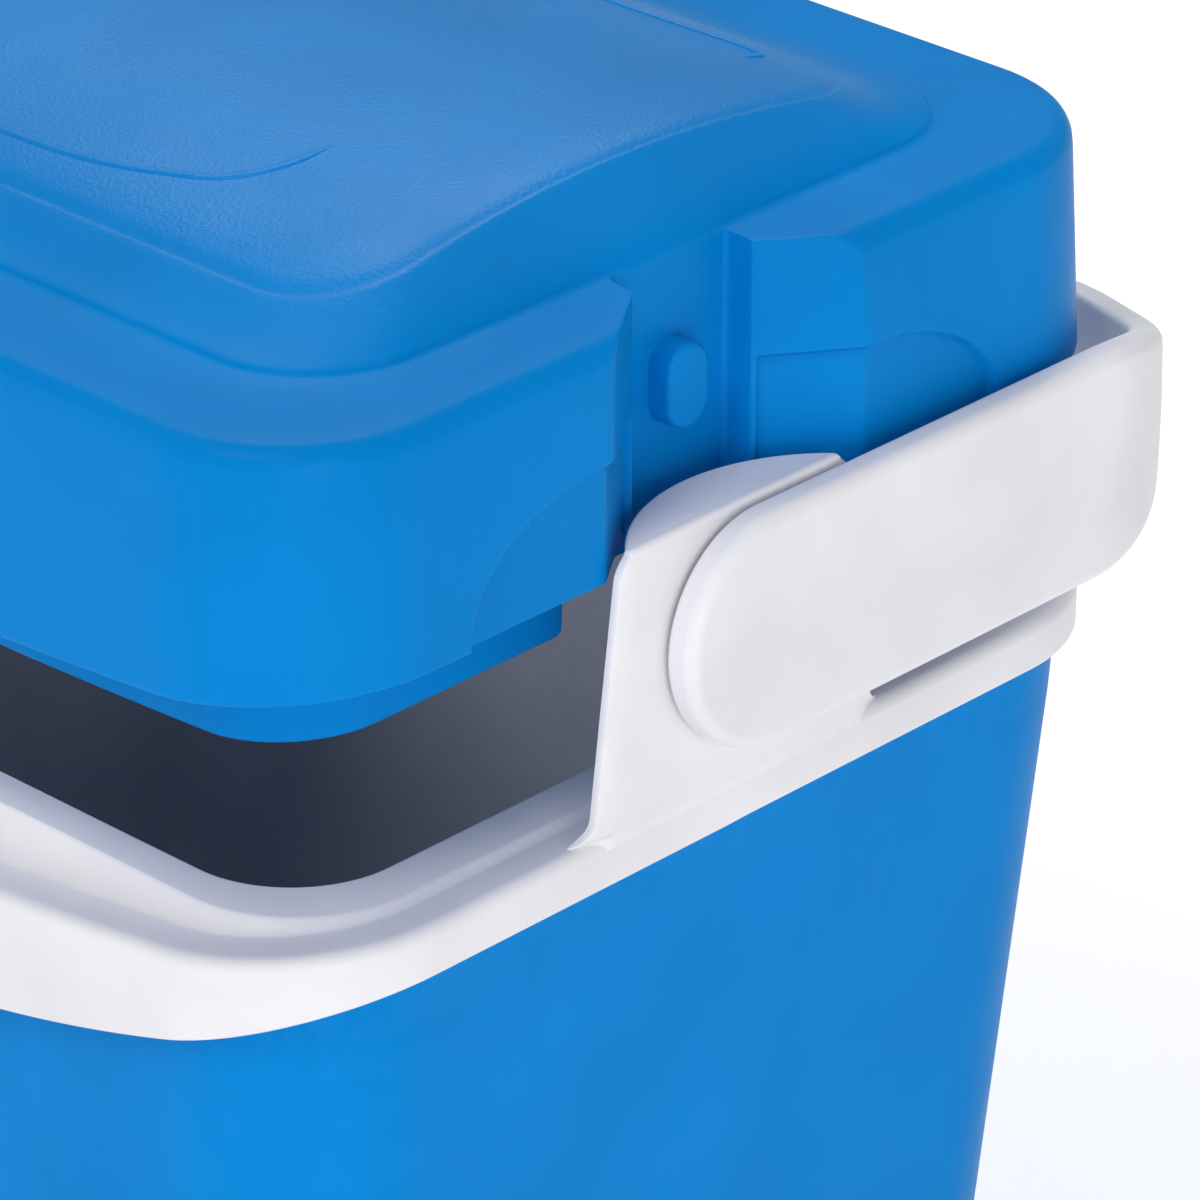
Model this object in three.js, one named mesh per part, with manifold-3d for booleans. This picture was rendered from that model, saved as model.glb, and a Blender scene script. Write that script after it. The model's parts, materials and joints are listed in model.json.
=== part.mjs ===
// A passive picnic cooler: a tapered insulated tub with a white collar, a tall lift-off lid
// and one U-shaped carrying handle that is pivoted on two upstands of the collar.
// Millimetres, +Z up. Origin: centre of the footprint, on the floor. The long side lies along X,
// the front with the finger scoop faces -Y. The lid is stored raised above its seat and the
// handle is stored folded back towards +Y.
import * as THREE from 'three';
import { mergeVertices } from 'three/addons/utils/BufferGeometryUtils.js';
import Module from 'manifold-3d';

const wasm = await Module();
wasm.setup();

// ---- driving dimensions -------------------------------------------------------------------
const RIM_HALF_X = 197.5;        // collar, half length
const RIM_HALF_Y = 147.5;        // collar, half width
const RIM_RADIUS = 44;           // collar, plan corner radius
const RIM_Z = 300;               // height of the collar's top ledge
const GAP = 0.3;                 // assembly gap between neighbouring pieces

const BAND_ENDS = 12.7;          // depth of the collar's outer band at the ends and the rear
const BAND_FRONT_DROP = 41;      // extra depth of the band at the middle of the front
const SCOOP_DROP = 17;           // how far the front finger scoop drops below the ledge
const SCOOP_POWER = 1.25;
const PLATE = 4;                 // thickness of the collar's ledge
const BAND_WALL = 3;             // thickness of the collar's outer band
const OPENING_INSET_X = 28.2;
const OPENING_INSET_Y = 26.5;
const OPENING_RADIUS = 30;

const BODY_INSET = 4;            // tub wall set back from the collar's face
const BODY_DRAFT = Math.tan(THREE.MathUtils.degToRad(4.4));
const SHELL_WALL = 2.5;
const SHELL_FLOOR = 6.5;         // inside floor of the shell
const FOOT_RING_WIDTH = 12;      // width of the ring the tub stands on
const FOOT_RING_INSET = 8;
const BASE_GROOVE = 3;           // depth of the groove between the ring and the middle pad
const BASE_PAD_INSET = 62;
const BASE_BEND = 5;             // bend between the shell's floor and its wall
const LINER_WALL = 2;
const LINER_DRAFT = Math.tan(THREE.MathUtils.degToRad(2.2));
const LINER_FLOOR_Z = 34;
const LINER_INSET = 2.5;         // liner set back behind the collar's inner lip
const LINER_BEND = 8;            // bend between its floor and its wall
const LINER_FLANGE_INSET = 17.6; // outer edge of its flange, from the collar's face

const PIVOT_Z = RIM_Z + 40.4;    // handle axis
const UPSTAND_TOP = RIM_Z + 71;
const UPSTAND_CENTRE_Y = -4;
const UPSTAND_HALF_TOP = 38.5;
const UPSTAND_HALF_BASE = 48;
const UPSTAND_ARC_R = 47.8;      // inner face of the upstand, plan radius
const UPSTAND_DEPTH = 18;        // thickness at the middle of the upstand
const UPSTAND_PLATE = 2.2;       // thickness of its outer plate, clear of the closed lid
const UPSTAND_ROUND = 7;         // rounding of its top corners
const FOOT_RADIUS = 16;          // fillet from the ledge up into the upstand
const FOOT_HALF_WIDTH = 19;      // fits inside the lid's channel when the lid is closed
const BORE_R = 9.3;
const COUNTERBORE_R = 11.2;
const COUNTERBORE_X = 185.4;     // the bore widens inwards of this
const PEG_R = 9;
const PEG_HEAD_R = 10.6;

const LIFT = 63;                 // height of the stored lid above its seat
const LID_HALF_X = 196;
const LID_HALF_Y = 146.2;
const LID_RADIUS = 44;
const LID_FRONT_DROP = 11.5;
const LID_WALL = 2.8;
const LID_DRAFT = 2.2;           // the skirt leans in this much by LID_DRAFT_Z
const LID_DRAFT_Z = 52;
const LID_Z = RIM_Z + GAP + LIFT;
// The crown is lower towards the front and the rear, by this much times the square of Y.
const CROWN_CURVE = 0.0014;
// Cross-section of the lid above its skirt: half length, half width, corner radius, height above
// the skirt's lower edge, share of the crown's curve, how much of the wall comes off the height.
const LID_PROFILE = [
  [LID_HALF_X - LID_DRAFT, LID_HALF_Y - LID_DRAFT, 43, LID_DRAFT_Z, 0, 0.4],
  [LID_HALF_X - 2.9, LID_HALF_Y - 2.9, 42, 55.5, 0, 0.7],
  [LID_HALF_X - 5, LID_HALF_Y - 5, 40, 58.4, 0, 1],
  [LID_HALF_X - 9, LID_HALF_Y - 9.5, 37, 59.6, 0, 1],
  [177, 120, 33, 60.3, 0, 1],
  [170.5, 113, 31, 61.2, 0, 1],
  [168, 109.5, 30, 64.4, 0.1, 1],
  [157.5, 94, 27, 78.5, 0.83, 1],
  [154.5, 91, 25, 80.8, 1, 1],
  [151, 87.5, 23, 82, 1, 1],
  [145, 82, 20, 82.7, 1, 1],
  [130, 62, 16, 83.1, 1, 1],
  [110, 30, 10, 83.3, 1, 1],
  [95, 8, 4, 83.4, 1, 1],
];
const CHANNEL_FLOOR_X = 171;     // slot in the lid's ends that straddles the upstand
const CHANNEL_EDGE_X = 178.9;
const CHANNEL_HALF = 20;
const CHANNEL_MOUTH_HALF = 44.5;
const NUB_Z = 29.7;              // locking nub, above the skirt's lower edge
const NUB_HALF_WIDTH = 6.8;
const NUB_HALF_HEIGHT = 10.75;
const NUB_FACE_X = 178.4;
const ARCH_HALF = 89;
const ARCH_HEIGHT = 30;
const ARCH_FLAT = 45;
const ARCH_FACE_X = 193.2;
const ARCH_DEPTH = 1.6;
const PLUG_HALF_X = 167.6;
const PLUG_HALF_Y = 119.4;
const PLUG_RADIUS = 28.5;
const PLUG_DEPTH = 26;
const PLUG_FRONT_DROP = 8;
const NOTCH_HALF = 29;           // gap in the plug that clears the foot of the upstand
const NOTCH_X = 152;
const PANEL_WALL = 2.5;
const PANEL_PLATE_Z = 1.8;       // underside of the panel's plate, above the skirt's lower edge
const CUT_BELOW = 80;            // how far the lid's cutting tools reach below and above it
const CUT_ABOVE = 120;

const ARM_OUTER_X = 207.4;
const ARM_INNER_X = 198.4;
const STRAP = 8.6;               // thickness of the handle's strap
const STRAP_ROUND = 4;           // rounding of its edges
const STRAP_ROUND_STEPS = 3;
const GRIP_Y = 175.5;            // rear face of the grip when folded back
const HANDLE_CORNER_R = 60;
const ARM_HALF_WIDTH = 30;
const GRIP_HALF_WIDTH = 14;

const CORNER_STEPS = 7;
const EDGE_STEPS = [2, 6, 12, 6]; // rear, left end, front, right end

// ---- outline rings and lofts ---------------------------------------------------------------
// One ring is a rounded rectangle sampled at fixed stations, so rings of any size can be joined.
function outline(halfX, halfY, radius) {
  const corners = [[1, 1], [-1, 1], [-1, -1], [1, -1]];
  const points = [];
  corners.forEach(([sx, sy], k) => {
    const cx = sx * (halfX - radius);
    const cy = sy * (halfY - radius);
    for (let i = 0; i <= CORNER_STEPS; i += 1) {
      const a = (k + i / CORNER_STEPS) * Math.PI / 2;
      points.push([cx + radius * Math.cos(a), cy + radius * Math.sin(a)]);
    }
    const [nx, ny] = corners[(k + 1) % corners.length];
    const end = (k + 1) * Math.PI / 2;
    const from = points[points.length - 1];
    const to = [
      nx * (halfX - radius) + radius * Math.cos(end),
      ny * (halfY - radius) + radius * Math.sin(end),
    ];
    for (let i = 1; i < EDGE_STEPS[k]; i += 1) {
      const t = i / EDGE_STEPS[k];
      points.push([from[0] + (to[0] - from[0]) * t, from[1] + (to[1] - from[1]) * t]);
    }
  });
  return points;
}

// 1 at the middle of the front, falling to 0 round the front corners, 0 elsewhere.
const FRONT = outline(RIM_HALF_X, RIM_HALF_Y, RIM_RADIUS).map(([x, y]) => (
  y < 0 ? Math.max(0, 1 - (x / RIM_HALF_X) ** 2) : 0));
const SCOOP = FRONT.map((f) => f ** SCOOP_POWER);

function ring({ hx, hy, r, z, arch = 0, drop = 0, shape = FRONT }) {
  return outline(hx, hy, r).map(([x, y], i) => [
    x, y, z - drop * shape[i] - arch * CROWN_CURVE * y ** 2,
  ]);
}

function rimRing(inset, z, drop = 0, shape = SCOOP, extraX = 0) {
  return ring({
    hx: RIM_HALF_X - inset - extraX,
    hy: RIM_HALF_Y - inset,
    r: Math.max(RIM_RADIUS - inset * 0.62, 4),
    z: RIM_Z + z,
    drop,
    shape,
  });
}

// Joins rings into a solid: a closed loop of rings, or a stack with both ends capped.
function loft(rings, loop = false) {
  const n = rings[0].length;
  const positions = rings.flat(2);
  const index = [];
  const quads = loop ? rings.length : rings.length - 1;
  for (let k = 0; k < quads; k += 1) {
    const a = k * n;
    const b = ((k + 1) % rings.length) * n;
    for (let i = 0; i < n; i += 1) {
      const j = (i + 1) % n;
      index.push(a + i, a + j, b + j, a + i, b + j, b + i);
    }
  }
  if (!loop) {
    [0, rings.length - 1].forEach((k) => {
      const centre = positions.length / 3;
      const mean = [0, 1, 2].map((c) => rings[k].reduce((s, p) => s + p[c], 0) / n);
      positions.push(...mean);
      for (let i = 0; i < n; i += 1) {
        const j = (i + 1) % n;
        if (k === 0) index.push(centre, k * n + j, k * n + i);
        else index.push(centre, k * n + i, k * n + j);
      }
    });
  }
  const geometry = new THREE.BufferGeometry();
  geometry.setAttribute('position', new THREE.Float32BufferAttribute(positions, 3));
  geometry.setIndex(index);
  return geometry;
}

// ---- booleans ------------------------------------------------------------------------------
function solid(geometry) {
  const bare = geometry.clone();
  bare.deleteAttribute('normal');
  bare.deleteAttribute('uv');
  const merged = mergeVertices(bare, 1e-4);
  const make = (triVerts) => new wasm.Manifold(new wasm.Mesh({
    numProp: 3,
    vertProperties: new Float32Array(merged.attributes.position.array),
    triVerts,
  }));
  const faces = new Uint32Array(merged.index.array);
  const made = make(faces);
  if (made.volume() > 0) return made;
  return make(faces.map((v, i) => faces[i - (i % 3) + (2 - (i % 3))]));
}

function toGeometry(manifold) {
  const mesh = manifold.getMesh();
  const geometry = new THREE.BufferGeometry();
  geometry.setAttribute('position', new THREE.Float32BufferAttribute(mesh.vertProperties, 3));
  geometry.setIndex(new THREE.Uint32BufferAttribute(mesh.triVerts, 1));
  return geometry;
}

// A prism standing on the XY plane outline between two heights.
function prismZ(points, z0, z1) {
  const shape = new THREE.Shape(points.map(([x, y]) => new THREE.Vector2(x, y)));
  const geometry = new THREE.ExtrudeGeometry(shape, { depth: z1 - z0, bevelEnabled: false });
  return solid(geometry.translate(0, 0, z0));
}

// A prism along X whose outline is given as (y, z) points.
function prismX(points, x0, x1) {
  const shape = new THREE.Shape(points.map(([y, z]) => new THREE.Vector2(y, z)));
  const geometry = new THREE.ExtrudeGeometry(shape, { depth: x1 - x0, bevelEnabled: false });
  const turn = new THREE.Matrix4().makeBasis(
    new THREE.Vector3(0, 1, 0),
    new THREE.Vector3(0, 0, 1),
    new THREE.Vector3(1, 0, 0),
  );
  return solid(geometry.applyMatrix4(turn).translate(x0, 0, 0));
}

// A prism along Y whose outline is given as (x, z) points.
function prismY(points, y0, y1) {
  const shape = new THREE.Shape(points.map(([x, z]) => new THREE.Vector2(x, -z)));
  const geometry = new THREE.ExtrudeGeometry(shape, { depth: y1 - y0, bevelEnabled: false });
  return solid(geometry.rotateX(-Math.PI / 2).translate(0, y0, 0));
}

// A body of revolution about a line along X through (y, z), from (radius, x) points.
function turnedX(points, y, z, segments = 40) {
  const profile = points.map(([r, x]) => new THREE.Vector2(r, x));
  const geometry = new THREE.LatheGeometry(profile, segments);
  return solid(geometry.rotateZ(-Math.PI / 2).translate(0, y, z));
}

function mirroredX(manifold) {
  return manifold.mirror([1, 0, 0]);
}

function bothEnds(manifold) {
  return manifold.add(mirroredX(manifold));
}

// ---- tub -----------------------------------------------------------------------------------
function bodyInset(z) {
  return BODY_INSET + Math.max(0, RIM_Z - BAND_ENDS - z) * BODY_DRAFT;
}

function bodyRing(z, offset, drop = 0) {
  const inset = bodyInset(z) + offset;
  return ring({
    hx: RIM_HALF_X - inset,
    hy: RIM_HALF_Y - inset,
    r: Math.max(RIM_RADIUS - 2.5 - 0.35 * (inset - BODY_INSET), 4),
    z,
    drop,
    shape: SCOOP,
  });
}

const TUB_TOP = RIM_Z - PLATE - GAP;

function tubShell() {
  const ringInner = FOOT_RING_INSET + FOOT_RING_WIDTH;
  return loft([
    bodyRing(0, BASE_PAD_INSET),
    bodyRing(BASE_GROOVE, BASE_PAD_INSET - BASE_GROOVE),
    bodyRing(BASE_GROOVE, ringInner + BASE_GROOVE),
    bodyRing(0, ringInner),
    bodyRing(0, FOOT_RING_INSET),
    bodyRing(2.2, 3),
    bodyRing(8, 0),
    bodyRing(RIM_Z / 2, 0),
    bodyRing(TUB_TOP, 0, SCOOP_DROP),
    bodyRing(TUB_TOP, SHELL_WALL, SCOOP_DROP),
    bodyRing(RIM_Z / 2, SHELL_WALL),
    bodyRing(SHELL_FLOOR + BASE_BEND, SHELL_WALL),
    bodyRing(SHELL_FLOOR, SHELL_WALL + BASE_BEND),
  ]);
}

// Insets are measured from the collar's outer face at the height z.
function linerRing(z, offset) {
  const sink = OPENING_INSET_Y - LINER_INSET + (TUB_TOP - z) * LINER_DRAFT + offset;
  return rimRing(sink, z - RIM_Z, 0, SCOOP, OPENING_INSET_X - OPENING_INSET_Y);
}

function tubLiner() {
  const under = TUB_TOP - LINER_WALL;
  const floorUnder = LINER_FLOOR_Z - LINER_WALL;
  return loft([
    linerRing(floorUnder, LINER_BEND),
    linerRing(floorUnder + LINER_BEND, -LINER_WALL),
    linerRing(under, -LINER_WALL),
    rimRing(LINER_FLANGE_INSET, under - RIM_Z),
    rimRing(LINER_FLANGE_INSET, TUB_TOP - RIM_Z),
    linerRing(TUB_TOP, 0),
    linerRing(LINER_FLOOR_Z + LINER_BEND, 0),
    linerRing(LINER_FLOOR_Z, LINER_BEND),
  ]);
}

function tubFoam() {
  const outside = SHELL_WALL + GAP;
  const inside = LINER_WALL + GAP;
  const floor = SHELL_FLOOR + GAP;
  const top = TUB_TOP - LINER_WALL - GAP;
  const floorTop = LINER_FLOOR_Z - LINER_WALL - GAP;
  const slack = 0.2;
  return loft([
    bodyRing(floor, outside + BASE_BEND + slack),
    bodyRing(floor + BASE_BEND + slack, outside),
    bodyRing(RIM_Z / 2, outside),
    bodyRing(top, outside, SCOOP_DROP),
    rimRing(LINER_FLANGE_INSET - 2.4, top - RIM_Z, SCOOP_DROP),
    rimRing(LINER_FLANGE_INSET, top - RIM_Z),
    linerRing(top, -inside),
    linerRing(floorTop + LINER_BEND + slack, -inside),
    linerRing(floorTop, LINER_BEND),
  ]);
}

// ---- collar --------------------------------------------------------------------------------
function collarRing() {
  const opening = (inset, z) => ring({
    hx: RIM_HALF_X - OPENING_INSET_X + inset,
    hy: RIM_HALF_Y - OPENING_INSET_Y + inset,
    r: OPENING_RADIUS + inset,
    z: RIM_Z + z,
  });
  const bandBottom = (inset) => rimRing(inset, -BAND_ENDS, BAND_FRONT_DROP, FRONT);
  const lip = 1.8;
  return loft([
    bandBottom(0.8),
    bandBottom(0),
    rimRing(0, -3.4, SCOOP_DROP),
    rimRing(1, -1, SCOOP_DROP),
    rimRing(3.4, 0, SCOOP_DROP),
    rimRing(12, 0, SCOOP_DROP),
    rimRing(15.2, -0.6, 0),
    rimRing(16.4, 0, 0),
    opening(1.6, 0),
    opening(0.4, -0.5),
    opening(0, -1.8),
    opening(0, -9),
    opening(lip, -9),
    opening(lip, -PLATE),
    rimRing(17, -PLATE, 0),
    rimRing(15, -PLATE, SCOOP_DROP),
    rimRing(BAND_WALL + 0.4, -PLATE, SCOOP_DROP),
    rimRing(BAND_WALL, -PLATE - 0.6, SCOOP_DROP),
    bandBottom(BAND_WALL),
  ], true);
}

// Plan of the upstand's rounded body: an arc that meets the collar's end face at both ends.
function lensPlan() {
  const steps = 16;
  const centreX = RIM_HALF_X - UPSTAND_DEPTH + UPSTAND_ARC_R;
  const reach = Math.sqrt(UPSTAND_ARC_R ** 2 - (UPSTAND_ARC_R - UPSTAND_DEPTH) ** 2);
  const plan = [];
  for (let i = 0; i <= steps; i += 1) {
    const y = -reach + (2 * reach * i) / steps;
    plan.push([centreX - Math.sqrt(UPSTAND_ARC_R ** 2 - y ** 2), UPSTAND_CENTRE_Y + y]);
  }
  return plan;
}

// Side view of the upstand as (y, z): slanted edges and two rounded top corners.
function upstandSide() {
  const steps = 4;
  const side = [];
  [[1, 0], [-1, steps]].forEach(([s, first]) => {
    for (let i = 0; i <= steps; i += 1) {
      const a = (Math.abs(first - i) / steps) * (Math.PI / 2);
      side.push([
        UPSTAND_CENTRE_Y + s * (UPSTAND_HALF_TOP - UPSTAND_ROUND + UPSTAND_ROUND * Math.cos(a)),
        UPSTAND_TOP - UPSTAND_ROUND + UPSTAND_ROUND * Math.sin(a),
      ]);
    }
  });
  const front = UPSTAND_CENTRE_Y - UPSTAND_HALF_BASE;
  const rear = UPSTAND_CENTRE_Y + UPSTAND_HALF_BASE;
  const low = RIM_Z - PLATE;
  return [...side, [front, RIM_Z], [front, low], [rear, low], [rear, RIM_Z]];
}

// Fillet that runs from the edge of the opening up to the upstand's inner face, as (x, z).
function footPlan() {
  const steps = 6;
  const start = RIM_HALF_X - OPENING_INSET_X;
  const low = RIM_Z - 0.5;
  const back = RIM_HALF_X - 4;
  const foot = [[start + 0.2, low]];
  for (let i = 0; i <= steps; i += 1) {
    const a = (i / steps) * Math.PI / 2;
    foot.push([
      start + 0.6 + FOOT_RADIUS * Math.sin(a),
      RIM_Z + FOOT_RADIUS * (1 - Math.cos(a)),
    ]);
  }
  return [...foot, [back, RIM_Z + FOOT_RADIUS + 6], [back, low]];
}

function upstand() {
  const above = UPSTAND_TOP + 10;
  const lens = prismZ(lensPlan(), RIM_Z - PLATE, above);
  const rear = UPSTAND_CENTRE_Y + UPSTAND_HALF_BASE;
  const front = UPSTAND_CENTRE_Y - UPSTAND_HALF_BASE;
  const inner = RIM_HALF_X - UPSTAND_PLATE;
  const plate = prismZ([
    [inner, front], [RIM_HALF_X, front], [RIM_HALF_X, rear], [inner, rear],
  ], RIM_Z - PLATE, above);
  const footBlock = prismY(footPlan(), -FOOT_HALF_WIDTH, FOOT_HALF_WIDTH);
  const silhouette = prismX(upstandSide(), RIM_HALF_X - 40, RIM_HALF_X + 5);
  const inside = RIM_HALF_X - 40;
  const outside = RIM_HALF_X + 20;
  const bore = turnedX([
    [0, inside], [BORE_R, inside], [BORE_R, outside], [0, outside],
  ], 0, PIVOT_Z);
  const counterbore = turnedX([
    [0, inside], [COUNTERBORE_R, inside], [COUNTERBORE_R, COUNTERBORE_X], [0, COUNTERBORE_X],
  ], 0, PIVOT_Z);
  return lens.add(plate).intersect(silhouette).add(footBlock).subtract(bore)
    .subtract(counterbore);
}

function rimCollar() {
  return toGeometry(solid(collarRing()).add(bothEnds(upstand())));
}

// ---- lid -----------------------------------------------------------------------------------
function lidBody(inset, bottom, bottomDrop) {
  const at = (hx, hy, r, z, arch = 0, drop = 0) => ring({
    hx: hx - inset, hy: hy - inset, r: Math.max(r - inset * 0.6, 3), z: LID_Z + z, arch, drop,
  });
  const down = inset * 0.95;
  const lean = (LID_DRAFT * Math.max(0, bottom)) / LID_DRAFT_Z;
  const flat = 30;
  const rings = [
    at(LID_HALF_X - flat, LID_HALF_Y - flat, LID_RADIUS / 2, bottom),
    at(LID_HALF_X - lean, LID_HALF_Y - lean, LID_RADIUS, bottom, 0, bottomDrop),
    ...(bottom < 0 ? [at(LID_HALF_X, LID_HALF_Y, LID_RADIUS, 0)] : []),
    ...LID_PROFILE.map(([hx, hy, r, z, arch, lower]) => at(hx, hy, r, z - down * lower, arch)),
  ];
  return solid(loft(rings));
}

function channelPlan(grow) {
  const run = LID_HALF_X - CHANNEL_EDGE_X;
  const rise = CHANNEL_MOUTH_HALF - CHANNEL_HALF;
  const far = 30;
  const side = [
    [CHANNEL_FLOOR_X - grow, CHANNEL_HALF - 0.5 + grow * 0.8],
    [CHANNEL_EDGE_X - grow * 0.7, CHANNEL_HALF + grow],
    [LID_HALF_X - grow * 0.7 + far, CHANNEL_MOUTH_HALF + grow + (far * rise) / run],
  ];
  return [...side, ...side.map(([x, y]) => [x, -y]).reverse()];
}

function channel(grow) {
  return bothEnds(prismZ(channelPlan(grow), LID_Z - CUT_BELOW, LID_Z + CUT_ABOVE));
}

function archOutline(grow) {
  const steps = 8;
  const half = [];
  for (let i = 0; i <= steps; i += 1) {
    const a = (i / steps) * Math.PI / 2;
    half.push([
      ARCH_FLAT + (ARCH_HALF - ARCH_FLAT + grow) * Math.cos(a),
      LID_Z - 1 + (ARCH_HEIGHT + 1 + grow) * Math.sin(a),
    ]);
  }
  const left = half.map(([y, z]) => [-y, z]).reverse();
  const low = LID_Z - CUT_BELOW;
  return [[ARCH_HALF + grow, low], ...half, ...left, [-ARCH_HALF - grow, low]];
}

function archRecess() {
  const face = prismX(archOutline(0), ARCH_FACE_X, ARCH_FACE_X + 30);
  const panels = prismX(archOutline(0), CHANNEL_EDGE_X - 3, ARCH_FACE_X + 30)
    .intersect(prismZ(channelPlan(ARCH_DEPTH), LID_Z - CUT_BELOW, LID_Z + CUT_ABOVE));
  return bothEnds(face.add(panels));
}

function nub() {
  const shape = new THREE.Shape();
  const straight = NUB_HALF_HEIGHT - NUB_HALF_WIDTH;
  const bevel = 1.2;
  const r = NUB_HALF_WIDTH - bevel;
  shape.absarc(0, straight, r, 0, Math.PI, false);
  shape.absarc(0, -straight, r, Math.PI, 2 * Math.PI, false);
  const geometry = new THREE.ExtrudeGeometry(shape, {
    depth: NUB_FACE_X - CHANNEL_FLOOR_X + 1 - bevel,
    bevelThickness: bevel,
    bevelSize: bevel,
    bevelSegments: 2,
    curveSegments: 10,
  });
  const turn = new THREE.Matrix4().makeBasis(
    new THREE.Vector3(0, 1, 0),
    new THREE.Vector3(0, 0, 1),
    new THREE.Vector3(1, 0, 0),
  );
  return solid(geometry.applyMatrix4(turn).translate(CHANNEL_FLOOR_X - 1, 0, LID_Z + NUB_Z))
    .intersect(prismZ([
      [CHANNEL_FLOOR_X - 1, -20], [200, -20], [200, 20], [CHANNEL_FLOOR_X - 1, 20],
    ], LID_Z, LID_Z + 60));
}

function lidInside(extra) {
  const grow = LID_WALL + extra;
  return lidBody(grow, extra > 0 ? 4.8 : -30, 0)
    .subtract(channel(grow))
    .subtract(bothEnds(prismX(archOutline(grow), ARCH_FACE_X - grow, ARCH_FACE_X + 30)));
}

function lidShell() {
  const outside = lidBody(0, 0, LID_FRONT_DROP).subtract(channel(0)).subtract(archRecess());
  return toGeometry(outside.add(bothEnds(nub())).subtract(lidInside(0)));
}

function plug(inset, bottom, drop, top) {
  const at = (extra, z, d) => ring({
    hx: PLUG_HALF_X - inset - extra,
    hy: PLUG_HALF_Y - inset - extra,
    r: PLUG_RADIUS - inset * 0.6,
    z: LID_Z + z,
    drop: d,
  });
  return solid(loft([
    at(22, bottom, 0),
    at(4, bottom, drop),
    at(1, bottom + 1.2, drop),
    at(0.6, bottom + 4, drop),
    at(0, top, 0),
  ]));
}

function plugNotch(grow) {
  const half = NOTCH_HALF + grow;
  return bothEnds(prismZ([
    [NOTCH_X - grow, -half], [PLUG_HALF_X + 20, -half], [PLUG_HALF_X + 20, half],
    [NOTCH_X - grow, half],
  ], LID_Z - CUT_BELOW, LID_Z - 1 + grow));
}

function lidPanel() {
  const plateTop = PANEL_PLATE_Z + PANEL_WALL;
  const inset = LID_WALL + GAP;
  const plate = solid(loft([PANEL_PLATE_Z, plateTop].map((z) => ring({
    hx: LID_HALF_X - 0.2 - inset,
    hy: LID_HALF_Y - 0.2 - inset,
    r: LID_RADIUS - inset * 0.6,
    z: LID_Z + z,
  })))).subtract(channel(LID_WALL + GAP))
    .subtract(bothEnds(prismX(archOutline(inset), ARCH_FACE_X - inset, ARCH_FACE_X + 30)));
  const outer = plug(0, -PLUG_DEPTH, PLUG_FRONT_DROP, plateTop).subtract(plugNotch(0));
  const inner = plug(PANEL_WALL, -PLUG_DEPTH + PANEL_WALL, PLUG_FRONT_DROP, plateTop + 2)
    .subtract(plugNotch(PANEL_WALL));
  return toGeometry(plate.add(outer).subtract(inner));
}

function lidFoam() {
  const grow = PANEL_WALL + GAP;
  const top = plug(grow, -PLUG_DEPTH + grow, PLUG_FRONT_DROP, 6).subtract(plugNotch(grow));
  return toGeometry(lidInside(GAP).add(top));
}

// ---- handle --------------------------------------------------------------------------------
function strapSection(centre, normal, halfThick, halfWide) {
  const points = [];
  [[1, 1], [-1, 1], [-1, -1], [1, -1]].forEach(([sn, sz], k) => {
    for (let i = 0; i <= STRAP_ROUND_STEPS; i += 1) {
      const a = (k + i / STRAP_ROUND_STEPS) * Math.PI / 2;
      const n = sn * (halfThick - STRAP_ROUND) + STRAP_ROUND * Math.cos(a);
      const z = sz * (halfWide - STRAP_ROUND) + STRAP_ROUND * Math.sin(a);
      points.push([centre[0] + normal[0] * n, centre[1] + normal[1] * n, PIVOT_Z + z]);
    }
  });
  return points;
}

function handleStrap() {
  const half = STRAP / 2;
  const cornerX = ARM_OUTER_X - HANDLE_CORNER_R;
  const cornerY = GRIP_Y - HANDLE_CORNER_R;
  const smooth = (t) => t * t * (3 - 2 * t);
  const wide = (t) => THREE.MathUtils.lerp(
    ARM_HALF_WIDTH,
    GRIP_HALF_WIDTH,
    smooth(THREE.MathUtils.clamp(t, 0, 1)),
  );
  const stations = [];
  [0, 0.3, 0.6, 0.85].forEach((t) => {
    stations.push({ c: [ARM_OUTER_X - half, cornerY * t], n: [1, 0], w: ARM_HALF_WIDTH });
  });
  const steps = 12;
  for (let i = 0; i <= steps; i += 1) {
    const a = (i / steps) * Math.PI / 2;
    const n = [Math.cos(a), Math.sin(a)];
    const radius = HANDLE_CORNER_R - half;
    stations.push({
      c: [cornerX + n[0] * radius, cornerY + n[1] * radius],
      n,
      w: wide((i / steps) * 1.2),
    });
  }
  [0.66, 0.33].forEach((t) => {
    stations.push({ c: [cornerX * t, GRIP_Y - half], n: [0, 1], w: GRIP_HALF_WIDTH });
  });
  const middle = { c: [0, GRIP_Y - half], n: [0, 1], w: GRIP_HALF_WIDTH };
  const mirrored = stations.map(({ c, n, w }) => ({ c: [-c[0], c[1]], n: [-n[0], n[1]], w }));
  const path = [...stations, middle, ...mirrored.reverse()];
  return solid(loft(path.map(({ c, n, w }) => strapSection(c, n, half, w))));
}

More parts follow.
